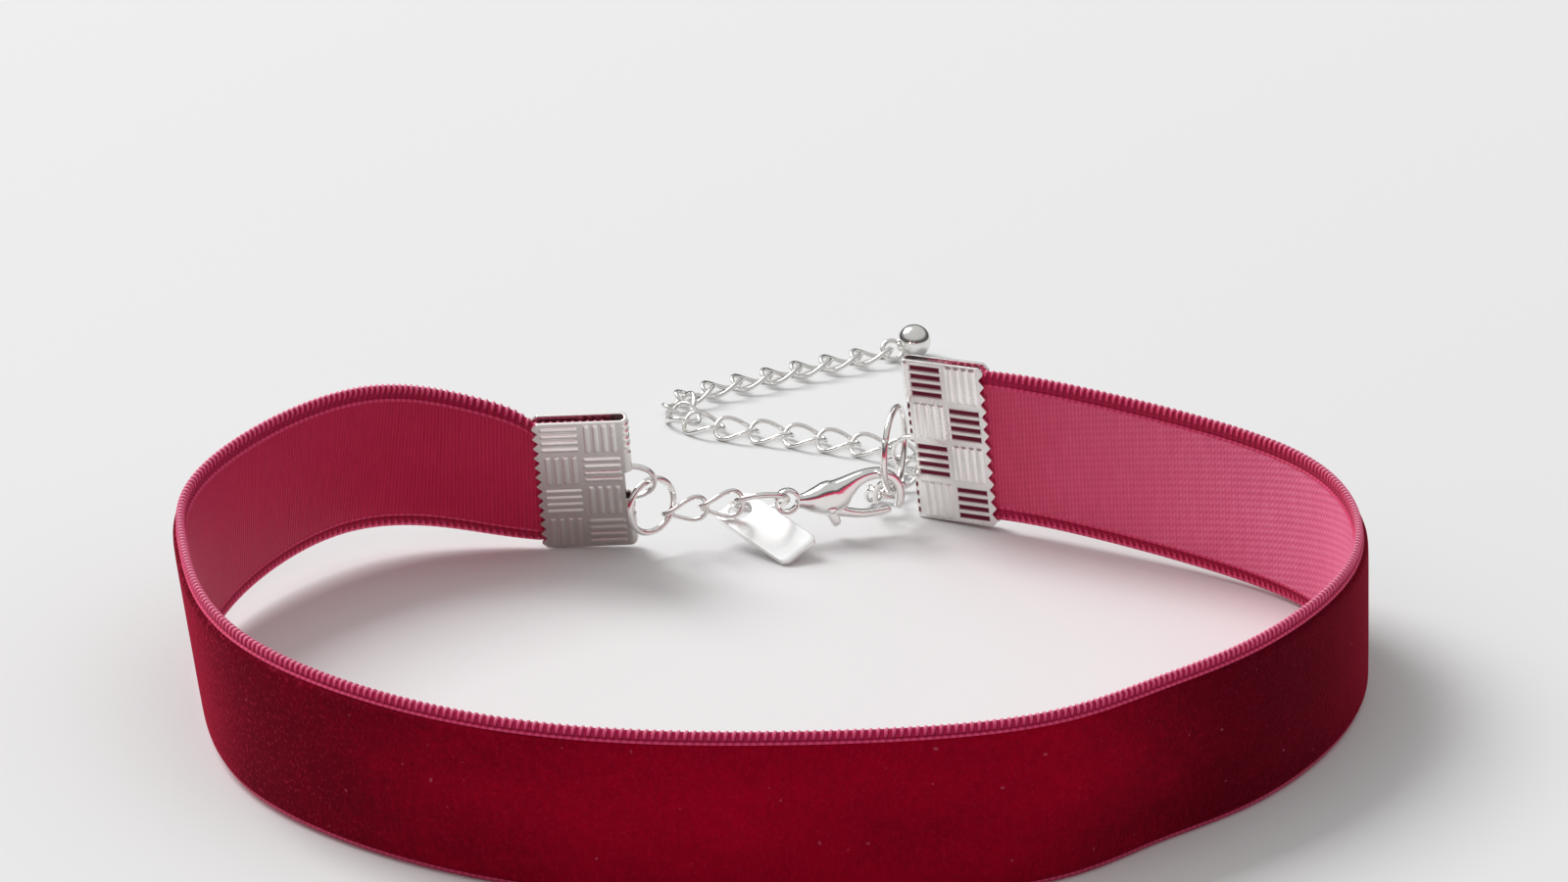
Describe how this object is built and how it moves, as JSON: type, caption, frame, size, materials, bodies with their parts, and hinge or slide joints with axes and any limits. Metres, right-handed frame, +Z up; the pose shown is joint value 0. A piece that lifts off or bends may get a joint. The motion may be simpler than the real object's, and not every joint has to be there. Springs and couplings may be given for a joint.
{
  "type": "choker necklace",
  "caption": "Broad velvet ribbon loop with folded metal crimps at its ends, joined by a lobster clasp, rings and links, with an extender chain ending in a ball.",
  "frame": {"origin": "middle of the choker's footprint on the table it stands on", "axes": "+Z up from the table, the clasp and its chain towards +Y, the ribbon's plain front towards -Y, +X to the right seen from the front"},
  "size_m": [0.1132, 0.1488, 0.0184],
  "materials": {
    "velvet": "matte pile",
    "stamped_metal": "satin",
    "silver_metal": "polished"
  },
  "bodies": {
    "choker": {"chain_link_01": "silver_metal", "chain_link_02": "silver_metal", "chain_link_03": "silver_metal", "chain_link_04": "silver_metal", "chain_link_05": "silver_metal", "chain_link_06": "silver_metal", "chain_link_07": "silver_metal", "chain_link_08": "silver_metal", "chain_link_09": "silver_metal", "chain_link_10": "silver_metal", "chain_link_11": "silver_metal", "chain_link_12": "silver_metal", "chain_link_13": "silver_metal", "chain_link_14": "silver_metal", "chain_link_15": "silver_metal", "chain_link_16": "silver_metal", "chain_link_17": "silver_metal", "chain_link_18": "silver_metal", "chain_link_19": "silver_metal", "chain_link_20": "silver_metal", "chain_link_21": "silver_metal", "clasp_body": "silver_metal", "end_ball": "silver_metal", "left_crimp": "stamped_metal", "left_ring": "silver_metal", "ribbon": "velvet", "right_crimp": "stamped_metal", "right_ring": "silver_metal", "small_link_1": "silver_metal", "small_link_2": "silver_metal", "tag": "silver_metal", "tag_ring": "silver_metal"},
    "lever": {"clasp_lever": "silver_metal"}
  },
  "joints": [
    {"name": "lever_hinge", "type": "hinge", "parent": "choker", "child": "lever", "pos_m": [0.00565, 0.01937, 0.00324], "axis": [0.2419, -0.9703, 0], "range_deg": [0, 7], "stiffness_Nm_per_rad": 0.002, "springref_deg": -11.46}
  ]
}
